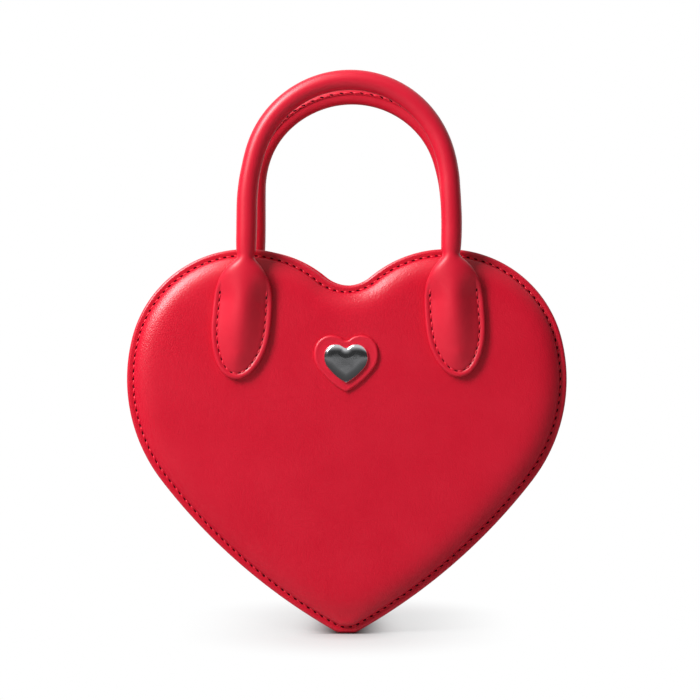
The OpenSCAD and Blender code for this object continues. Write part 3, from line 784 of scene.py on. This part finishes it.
def placed(s, section, direction):
    """A half section set out from a station's middle along a direction."""
    flat = s["c"][None] + section[:, :1] * direction
    return at_y(flat, -(PANEL_FACE + section[:, 1]))


def station_section(s, outer):
    """The half section on a station's outer or inner side, which carries the lap or is flatter."""
    t, z = s["t"], s["c"][1]
    radius = np.interp(z, [187, 190, 193, 197, 205, 225, 250], [4.35, 4.7, 4.9, 5.02, 5.08, 5.08, 5.0])
    lap = 0.6 * smooth_share((z - 194) / 8) if outer else 0
    ease = 1.0 if outer else 1.1 - 0.5 * smooth_share((z - 228) / 28)
    rolled, leaf, groove = (smooth_share(share) for share in (-t / 4, (t - 3) / 19, (t - 8) / 14))
    section = leaf_section(s["w"], np.interp(t, HIGH_T, HIGH), leaf, groove) * (1 - rolled)
    return placed(s, section + roll_section(radius, lap, ease) * rolled, s["side"] * (1 if outer else -1))


def tip_fan(s):
    """Half sections turned from the outer side through the leaf's tip to the inner side."""
    below = np.linspace(0, LEAF_L - FAN_AT, 160)
    reach = leaf_half(FAN_AT + below)
    down = np.array([s["side"][1], -s["side"][0]])
    down = down if down[1] < 0 else -down
    rays = []
    for turn in np.linspace(0, math.pi, FAN_RAYS + 2)[1:-1]:
        width = np.interp(min(turn, math.pi - turn), np.arctan2(below, reach), np.hypot(below, reach))
        section = leaf_section(width, np.interp(FAN_AT, HIGH_T, HIGH))
        rays.append(placed(s, section, s["side"] * math.cos(turn) + down * math.sin(turn)))
    return rays


def leaned(points, lean):
    """The handles of the real bag lean a little to the right and are not quite even. lean is the
    shift to the right and the spread at each height of LEAN_Z, and how much higher the arch and
    the right leaf are."""
    shift, wider, rise, leaf_rise = lean
    x, z = points[..., 0], points[..., 2]
    fine_z = np.arange(100, 310, 0.5)
    shift, wider = (np.interp(z, fine_z, evened(np.interp(fine_z, LEAN_Z, values), 9, 24))
                    for values in (shift, wider))
    moved = np.array(points, float)
    moved[..., 0] += shift + wider * x / 50
    moved[..., 2] += rise * smooth_share((z - 215) / 60)
    moved[..., 2] += leaf_rise * smooth_share((x + 15) / 40) * smooth_share((235 - z) / 45)
    return moved


left = half_handle()
right = [dict(s, c=s["c"] * [-1, 1], side=s["side"] * [-1, 1]) for s in left]
handle_path = left + right[-2::-1]
outer, inner = ([station_section(s, side) for s in handle_path] for side in (True, False))
handle_grid = np.array(outer + tip_fan(handle_path[-1]) + inner[::-1] + tip_fan(handle_path[0])[::-1])
print("handle:", handle_grid.shape)

# %% Build the handles and the cords inside
CORD_R, CORD_FROM, STRAND_DEEP = 3.2, 192, 0.06
NECK_LOW, NECK_HIGH = 0.184, 0.199


def neck(side, sign):
    """Where a handle bends over from its panel to its own body."""
    y = sign * AXIS_V * MM
    return dict(to=side + "_handle", start=(0, y, NECK_LOW), end=(0, y, NECK_HIGH))


def cord_sections(lean):
    """A laid cotton cord: a round with three shallow strands that wind along it."""
    turn = np.linspace(0, 2 * math.pi, 24, endpoint=False)
    sections = []
    for i, s in enumerate(s for s in handle_path if s["c"][1] > CORD_FROM):
        radius = CORD_R * (1 - STRAND_DEEP + STRAND_DEEP * np.abs(np.cos(1.5 * (turn + i * 0.35))))
        flat = s["c"] + (radius * np.cos(turn))[:, None] * s["side"]
        sections.append(leaned(at_y(flat, -AXIS_V + radius * np.sin(turn)), lean))
    return np.array(sections)


for side, sign, body in SIDES:
    covered = [side + part for part in ("_handle_cover", "_left_tab", "_right_tab", "_tab_backings")]
    loft(side + "_handle_skin", leaned(handle_grid, LEANS[side]) * [1, -sign, 1], body, "handle_leather",
         *covered, wrap=True, closed=False, crease=50, **neck(side, sign))
for side, sign, body in SIDES:
    loft(side + "_cord_strands", cord_sections(LEANS[side]) * [1, -sign, 1], body, "cord",
         side + "_handle_cord", **neck(side, sign))

# %% Seams of the leaves and the lap
SEWN_OUTSIDE, SEWN_INSIDE, LAP_FROM = 17, 14.5, 203


def leaf_paths():
    """The groove's line round each leaf, from its outer side round the tip to its inner side."""
    n, line = len(handle_path), handle_grid[:, GROOVE_AT]

    def leaf_rows(half):
        low = [(i, handle_path[i]["t"]) for i in half]
        return ([i for i, t in low if t > SEWN_OUTSIDE],
                [2 * n + FAN_RAYS - 1 - i for i, t in low if t > SEWN_INSIDE])

    left_out, left_in = leaf_rows(range(n // 2))
    right_out, right_in = leaf_rows(range(n // 2, n))
    left_fan = range(len(line) - 1, len(line) - 1 - FAN_RAYS, -1)
    return (line[[*left_out[::-1], *left_fan, *left_in]],
            line[[*right_out, *range(n, n + FAN_RAYS), *right_in[::-1]]])


def lap_path():
    """The line beside the lap's edge, and the directions out of the roll."""
    keep = [i for i, s in enumerate(handle_path) if s["c"][1] > LAP_FROM]
    line = handle_grid[keep, LAP_AT]
    away = line - at_y(np.array([handle_path[i]["c"] for i in keep]), -AXIS_V)
    return line, away / np.linalg.norm(away, axis=1)[:, None]


lap_rows = {}
for side, sign, body in SIDES:
    turned = np.array([1, -sign, 1])
    for line in leaf_paths():
        panel_rows[side] += seam(leaned(line, LEANS[side]) * turned, np.tile([0, sign, 0], (len(line), 1)),
                                 length=2.5)
    line, away = lap_path()
    lap_rows[side] = seam(leaned(line, LEANS[side]) * turned, away * turned, pitch=5.3, length=3.1,
                          hole=(1.15, 0.4))
for side, sign, body in SIDES:
    join_rows(side + "_stitches", panel_rows[side], body, "panel_leather")
for side, sign, body in SIDES:
    join_rows(side + "_lap_stitches", lap_rows[side], side + "_handle", "handle_leather")

# %% [markdown]
# ## The badge
# The front carries a small plain heart of polished metal on a padded leather heart. Both are
# lofts of the bag's own outline, made small. The leather has a rolled edge and the metal a
# bevelled one and a gently domed face, so that it catches the room rather than one flat tone.

# %% Badge pieces
BADGE_Z = 135


def badge_piece(name, width, base, profile, crown, slot_name, crease=40):
    """A small heart from its back round its edge to its domed face. profile is (inset, height)
    pairs over the base."""
    k = width / HEART_W

    def heart(d, v):
        return at_y(ring(d / k) * k + [0, BADGE_Z - HEART_TOP / 2 * k], -(base + v))

    d0, v0 = profile[-1]
    sections = [heart(45 * k, 0), heart(20 * k, 0)] + [heart(d, v) for d, v in profile]
    sections += [heart(d0 + (48 * k - d0) * share, v0 + crown * (1 - (1 - share) ** 2))
                 for share in (0.25, 0.5, 0.75, 1.0)]
    back, face = sections[0], sections[-1]
    sections = [shrunk(back, 0, back.mean(0)), *sections, *(shrunk(face, s, face.mean(0)) for s in (0.5, 0))]
    return loft(name + "_skin", sections, "front_shell", slot_name, name, crease=crease)


PATCH = [(0.05, 0), (0, 0.4), (0.08, 0.9), (0.35, 1.3), (0.8, 1.5), (1.3, 1.5), (1.8, 1.42), (2.4, 1.4)]
PLATE = [(0, 0), (0, 0.5), (0.08, 0.72), (0.3, 0.95), (0.75, 1.38), (0.95, 1.5)]
patch = badge_piece("badge_patch", 32, PANEL_FACE, PATCH, 0.0, "handle_leather")
plate = badge_piece("badge_plate", 22, PANEL_FACE + 1.4, PLATE, 0.6, "badge_metal", crease=60)
print("badge:", len(patch.data.polygons), len(plate.data.polygons), "faces")

# %% [markdown]
# ## Between the panels
# A recessed band of leather joins the two panels. Its edges are turned out and sewn to the
# panels' rims. Below, it is one piece round the tip; above, two strips leave room for the zip.
# Each is a section carried along the outline at its inset. The lower band and the ends of the
# front strip join two bodies; here they keep their places and are carried by neither body. Over
# the right lobe the front strip opens with the front panel.


# %% Sweep along the outline
def band_sections(profile, first, last, side):
    """Sections along half of the outline: profile is (inset, depth) pairs round the section."""
    return np.stack([at_y(half_line(d, first, last) * [side, 1], v) for d, v in profile], 1)


def round_band(profile, first, last):
    """Both halves of a band, joined through the tip or over the notch."""
    right, left = (band_sections(profile, first, last, side) for side in (1, -1))
    return np.concatenate([left[::-1], right[1:]] if first == 0 else [right, left[-2::-1]])


BAND = [(0.0, 31.2), (0.25, 31.0), (4.6, 31.0), (5.5, 30.7), (5.9, 30.1), (6.0, 29.4), (6.03, 15), (6.05, 0),
        (6.03, -15), (6.0, -29.4), (5.9, -30.1), (5.5, -30.7), (4.6, -31.0), (0.25, -31.0), (0.0, -31.2),
        (0.0, -31.9), (0.2, -32.1), (7.4, -32.1), (7.4, -16), (7.4, 0), (7.4, 16), (7.4, 32.4), (0.2, 32.4),
        (0.0, 32.1)]
BAND_LINING = [(7.45, 30.4), (7.45, 0), (7.45, -30.4), (8.0, -30.4), (8.0, 0), (8.0, 30.4)]
TAPE_END, TAPE_START, CLOSED_END = 95, 112.7, 112.4
for name, profile, last, slot_name in (("lower_gusset", BAND, ZIP_TURN, "gusset_leather"),
                                       ("gusset_lining", BAND_LINING, TAPE_END, "lining_cloth")):
    band = loft(name + "_skin", round_band(profile, 0, last), "root", slot_name, name, to="front_shell",
                start=(0, 0.02, 0), end=(0, -0.030, 0))
    print(name, len(band.data.polygons), "faces")

# %% Zip strips, their linings, the tapes and the end tabs
STRIP = [(0.0, 31.2), (0.25, 31.0), (4.6, 31.0), (5.5, 30.7), (5.9, 30.1), (6.0, 29.4), (6.0, 20.5),
         (6.0, 12), (6.0, 6.3), (6.15, 5.75), (6.5, 5.5), (7.0, 5.55), (7.4, 5.8), (7.4, 18), (7.4, 32.4),
         (0.2, 32.4), (0.0, 32.1)]
STRIP_LINING = [(7.45, 30.8), (7.45, 14.4), (8.0, 14.4), (8.0, 30.8)]
TAPE = [(7.45, 13.9), (7.45, 5), (7.45, 1.3), (7.7, 1.05), (7.95, 1.3), (7.95, 5), (7.95, 13.9)]
CLOSED_TAPE = [(7.45, 5.2), (7.45, 1.3), (7.7, 1.05), (7.95, 1.3), (7.95, 5.2)]
END_TAB = [(5.95, 7), (5.4, 7), (5.2, 6.6), (5.15, 0), (5.2, -6.6), (5.4, -7), (5.95, -7), (5.97, 0)]
END_TAB_TURN = 91
NEAR_LEFT = dict(to="front_shell", start=(0, -0.0055, 0.126), end=(0, -0.0175, 0.138))
NEAR_RIGHT = dict(to="front_shell", start=(0, -0.0055, 0.152), end=(0, -0.01399, 0.15672))
TOP_TURN = SIDE_END + 35 / 54 * (LOBE_END - SIDE_END)
for label, profile, start, right_start, slot_name in (
        ("zip_strip", STRIP, ZIP_TURN, ZIP_TURN, "gusset_leather"),
        ("strip_lining", STRIP_LINING, ZIP_TURN, ZIP_TURN, "lining_cloth"),
        ("zip_tape", TAPE, TAPE_END, TAPE_START, "zip_tape")):
    rear, front = "rear_" + label, "front_" + label
    loft(rear + "_skin", round_band(profile, start, TO_NOTCH), "root", slot_name, rear)
    for part, first, last, side, body, nodes, near in (
            ("_left", start, TO_NOTCH, -1, "root", [front], NEAR_LEFT),
            ("_right", right_start, TOP_TURN, 1, "root", [], NEAR_RIGHT),
            ("_top", TOP_TURN, TO_NOTCH, 1, "front_shell", [], {})):
        sections = band_sections(profile, first, last, side) * [1, -1, 1]
        loft(front + part, sections, body, slot_name, *nodes, **near)
closed_tape = band_sections(CLOSED_TAPE, TAPE_END, CLOSED_END, 1) * [1, -1, 1]
loft("zip_closed_tape", closed_tape, "root", "zip_tape")
for name, side, nodes in (("zip_end_tab_left", -1, ["zip_end_tabs"]), ("zip_end_tab_right", 1, [])):
    sections = band_sections(END_TAB, END_TAB_TURN, ZIP_TURN, side)
    loft(name, sections, "root", "gusset_leather", *nodes, finish=[handle_leather])

# %% [markdown]
# ## The zip
# A metal tooth is a small cast block: a rounded nose that meets the other row, and two legs
# that are pressed over the tape's edge. One tooth is modelled, and Geometry Nodes repeat it
# along the chain's path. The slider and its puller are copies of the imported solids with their
# edges softened, because cast and polished zip parts have no sharp edges.

# %% The chain's path
CHAIN_IN = 7.7
CLEFT_LEN = (CLEFT_R + CHAIN_IN) * math.radians(CLEFT_TURN)
LOBE_LEN = (LOBE_R - CHAIN_IN) * math.radians(LOBE_END - SIDE_END)


def chain_point(s):
    """Place and outward direction at a length from the notch; left of it the length is
    negative."""
    a = abs(s)
    if a < CLEFT_LEN:
        centre, radius, sign, turn = cleft_c, CLEFT_R + CHAIN_IN, -1, math.degrees(a / (CLEFT_R + CHAIN_IN))
    else:
        centre, radius, end, past = ((lobe_c, LOBE_R - CHAIN_IN, LOBE_END, a - CLEFT_LEN)
                                     if a < CLEFT_LEN + LOBE_LEN else
                                     (side_c, SIDE_R - CHAIN_IN, SIDE_END, a - CLEFT_LEN - LOBE_LEN))
        sign, turn = 1, end - math.degrees(past / radius)
    flip = np.array([math.copysign(1, s), 1])
    return (centre + radius * out(turn)) * flip, sign * out(turn) * flip


def chain_line(first, last):
    """The chain's line between two lengths, and the directions out of the bag."""
    steps = np.linspace(first, last, int(round((last - first) / 0.5)) + 1)
    line, away = zip(*(chain_point(s) for s in steps))
    return at_y(np.array(line), 0), at_y(np.array(away), 0)


# %% The teeth
TOOTH_PITCH, CORNER = 3.0, 0.18


def tooth(name, sign):
    """X runs along the chain, Z points out of the bag, and the tooth reaches along Y."""
    bm = bmesh.new()
    rings = []
    for y, half, z in ((0.45, 0.22, 0.95), (0.7, 0.48, 1.1), (1.2, 0.55, 1.1), (1.75, 0.42, 1.1),
                       (3.1, 0.42, 1.1), (3.3, 0.3, 0.9)):
        a, b = half - CORNER, z - CORNER
        shape = [(-half, -b), (-a, -z), (a, -z), (half, -b), (half, b), (a, z), (-a, z), (-half, b)]
        rings.append([bm.verts.new((x * MM, sign * y * MM, up * MM)) for x, up in shape])
    for low, high in zip(rings, rings[1:]):
        for i in range(8):
            bm.faces.new((low[i], low[(i + 1) % 8], high[(i + 1) % 8], high[i]))
    bm.faces.new(rings[0])
    bm.faces.new(rings[-1])
    return finish_mesh(name, bm, [zip_metal], crease=35)


rear_tooth, front_tooth = tooth("rear_tooth", 1), tooth("front_tooth", -1)
for name, first, last, piece, body, nodes, near in (
        ("rear_zip_teeth_row", -126, 126, rear_tooth, "root", ["rear_zip_teeth"], {}),
        ("zip_closed_teeth", 115.5, 127.5, front_tooth, "root", ["zip_closed_end"], {}),
        ("front_zip_teeth_top", 1.5, 55.5, front_tooth, "front_shell", [], {}),
        ("front_zip_teeth_left", -127.5, -1.5, front_tooth, "root", ["front_zip_teeth"], NEAR_LEFT),
        ("front_zip_teeth_right", 58.5, 112.5, front_tooth, "root", [], NEAR_RIGHT)):
    row = plain_row(piece_tree, *chain_line(first, last), TOOTH_PITCH, zip_metal, piece=piece)
    made = join_rows(name, [row], body, "zip_metal", *nodes, **near)
    print(name, len(made.data.polygons), "faces")
for spare in (rear_tooth, front_tooth):
    bpy.data.objects.remove(spare)

# %% Softened copies of the small metal solids
for node_name, name, body, width in (("zip_slider_body", "zip_slider_cast", "zip_slider", 0.12),
                                     ("zip_puller_tab", "zip_puller_cast", "zip_puller", 0.12),
                                     ("zip_stops", "zip_stops_pressed", "root", 0.08)):
    bm = bmesh.new()
    bm.from_mesh(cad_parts[node_name].data)
    bmesh.ops.remove_doubles(bm, verts=bm.verts, dist=WELD_SOLID)
    bmesh.ops.dissolve_limit(bm, angle_limit=math.radians(1), verts=bm.verts, edges=bm.edges)
    sharp = [e for e in bm.edges if len(e.link_faces) == 2 and e.calc_face_angle(0) > math.radians(30)]
    bmesh.ops.bevel(bm, geom=sharp, offset=width * MM, segments=2, profile=0.6, affect="EDGES",
                    clamp_overlap=True)
    settle(finish_mesh(name, bm, [zip_metal], crease=35), body, "zip_metal", node_name)

# %% [markdown]
# ## Inside
# The linings are cloth pasted on the boards, and the rear one carries a flat pocket with a
# turned hem. They only show when the mouth is open, but they are woven all the same. Each has
# a UV map laid flat on the panel, so that the twill runs straight up the bag.

# %% Linings and pocket
LINING_IN = 8.3


def lining_piece(name, sections, body, node_name):
    """A loft of lining cloth, with its UV map laid flat on the panel."""
    piece = loft(name, sections, body, "lining_cloth", node_name)
    uv = piece.data.uv_layers["UVMap"].data
    for loop in piece.data.loops:
        place = piece.data.vertices[loop.vertex_index].co
        uv[loop.index].uv = (place.x, place.z)


flat_line = ring(LINING_IN)
for side, sign, body in SIDES:
    sections = [at_y(shrunk(flat_line, share, FACE_CENTRE), sign * y) for share, y in
                ((0, 30.6), (0.5, 30.6), (1, 30.6), (1, 31.15), (0.5, 31.15), (0, 31.15))]
    lining_piece(side + "_lining_cloth", sections, body, side + "_lining")

POCKET_HALF, POCKET_LOW, POCKET_HIGH, POCKET_CORNER = 55, 76, 134, 9
pocket_line = [(-POCKET_HALF, POCKET_HIGH)]
for side, start in ((-1, 180), (1, 270)):
    corner = [side * (POCKET_HALF - POCKET_CORNER), POCKET_LOW + POCKET_CORNER]
    turns = np.radians(np.linspace(start, start + 90, 9))
    pocket_line += list(corner + POCKET_CORNER * np.column_stack([np.cos(turns), np.sin(turns)]))
pocket_line += [(x, POCKET_HIGH) for x in np.linspace(POCKET_HALF, -POCKET_HALF, 12)[:-1]]
pocket_line, pocket_middle = np.array(pocket_line, float), np.array([0, 105])
sections = [at_y(shrunk(pocket_line, share, pocket_middle), y) for share, y in
            ((0, 30.2), (0.9, 30.2), (1, 30.55), (1.0, 29.95), (0.985, 29.75), (0.96, 29.6), (0.94, 29.64),
             (0.9, 29.62), (0.5, 29.5), (0, 29.45))]
lining_piece("slip_pocket_cloth", sections, "root", "slip_pocket")

# %% Finish of the boards, which stay as packed
for side, sign, body in SIDES:
    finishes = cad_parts[side + "_board"].data.materials
    finishes.clear()
    finishes.append(board_grey)

# %% [markdown]
# ## Floor and light
# The photo is a white studio shot with one broad soft light high on the left and an even fill.
# The floor is pale and keeps the bag's soft shadow; further out it turns plain white, so no
# horizon shows. Close round the bag's tip the floor's colour is darkened and tinted red, a painted
# contact shadow. The camera sees a white room. The polished metal sees one that is bright above
# and behind and dim elsewhere, and the light on the bag stays at a plain level.

# %% Floor
def ramp(tree, value, low, high, to_low, to_high):
    """A soft change from one value to another between two places."""
    return mapped(tree, value, low, high, to_low, to_high, "SMOOTHSTEP")


floor_mesh = bpy.data.meshes.new("floor")
floor_mesh.from_pydata([(-6, -6, 0), (6, -6, 0), (6, 6, 0), (-6, 6, 0)], [], [(0, 1, 2, 3)])
floor = add_object("floor", floor_mesh)
floor.location.z = -0.0003
floor_white, tree, shader = new_material("floor white")
flat = axes(tree, place_in(tree))
aside, beyond = (maths(tree, "ABSOLUTE", flat[i]) for i in (0, 1))
beyond = maths(tree, "MAXIMUM", maths(tree, "SUBTRACT", beyond, BODY_HALF * MM), 0.0)
far = maths(tree, "SQRT", maths(tree, "ADD", *(maths(tree, "MULTIPLY", a, a) for a in (beyond, flat[0]))))
# painted contact shadow: close round the tip the floor's colour goes dark and reddish, and less of it turns
# white
under = maths(tree, "MULTIPLY", ramp(tree, beyond, 0.0, 0.003, 1.0, 0.0),
              ramp(tree, aside, 0.0, 0.022, 1.0, 0.0))
wire(tree, shader, Base_Color=colour_between(tree, under, (0.5, 0.5, 0.5), (0.12, 0.09, 0.09)),
     Roughness=0.35, Specular_IOR_Level=0.25)
rays = node(tree, "ShaderNodeLightPath")
seen = maths(tree, "MAXIMUM", rays["Is Glossy Ray"], rays["Is Camera Ray"])
white = node(tree, "ShaderNodeEmission", Color=(1, 1, 1, 1),
             Strength=mixed(tree, rays["Is Glossy Ray"], 1.0, ramp(tree, far, 0.1, 1.5, 0.06, 0.18)))
clear = maths(tree, "ADD", ramp(tree, far, 0.0, 0.03, 0.2, 0.62), ramp(tree, far, 0.015, 0.09, 0.0, 0.38))
clear = maths(tree, "MAXIMUM", maths(tree, "MULTIPLY_ADD", under, -0.25, clear), 0.0)
mix = node(tree, "ShaderNodeMixShader", n0=maths(tree, "MULTIPLY", seen, clear), n1=shader.outputs[0],
           n2=white[0])
wire(tree, tree.nodes["Material Output"], Surface=mix[0])
floor_mesh.materials.append(floor_white)

# %% Room light and lamps
LAMP_AIM = Vector((0, 0, 0.15))
world = bpy.data.worlds.new("studio")
bpy.context.scene.world = world
world.use_nodes = True
sky = world.node_tree
rays = node(sky, "ShaderNodeLightPath")
direct = maths(sky, "MAXIMUM", rays["Is Camera Ray"], rays["Is Transmission Ray"])
facing = axes(sky, place_in(sky, "Generated"))
around = maths(sky, "MAXIMUM", ramp(sky, facing[2], 0.2, 0.7, 0.03, 0.6),
               ramp(sky, facing[1], 0.15, 0.7, 0.0, 1.0))
indirect = mixed(sky, rays["Is Glossy Ray"], 0.16, around)
wire(sky, sky.nodes["Background"], Color=(1, 1, 1, 1), Strength=mixed(sky, direct, indirect, 1.0))


def lamp(name, place, size, power):
    """A soft rectangular light that faces the bag."""
    light = bpy.data.lights.new(name, "AREA")
    light.shape, light.size, light.size_y, light.energy = "RECTANGLE", *size, power
    holder = add_object(name, light)
    holder.location = place
    face_along(holder, LAMP_AIM - Vector(place))
    return holder


lamp("side", (-1.0, -0.85, 1.08), (0.5, 0.85), 33)
lamp("high", (-0.7, -0.3, 1.5), (0.6, 0.6), 7)
lamp("back", (0.3, 1.6, 0.5), (1.0, 1.0), 8).visible_glossy = False
bpy.context.scene.view_settings.view_transform = "Standard"
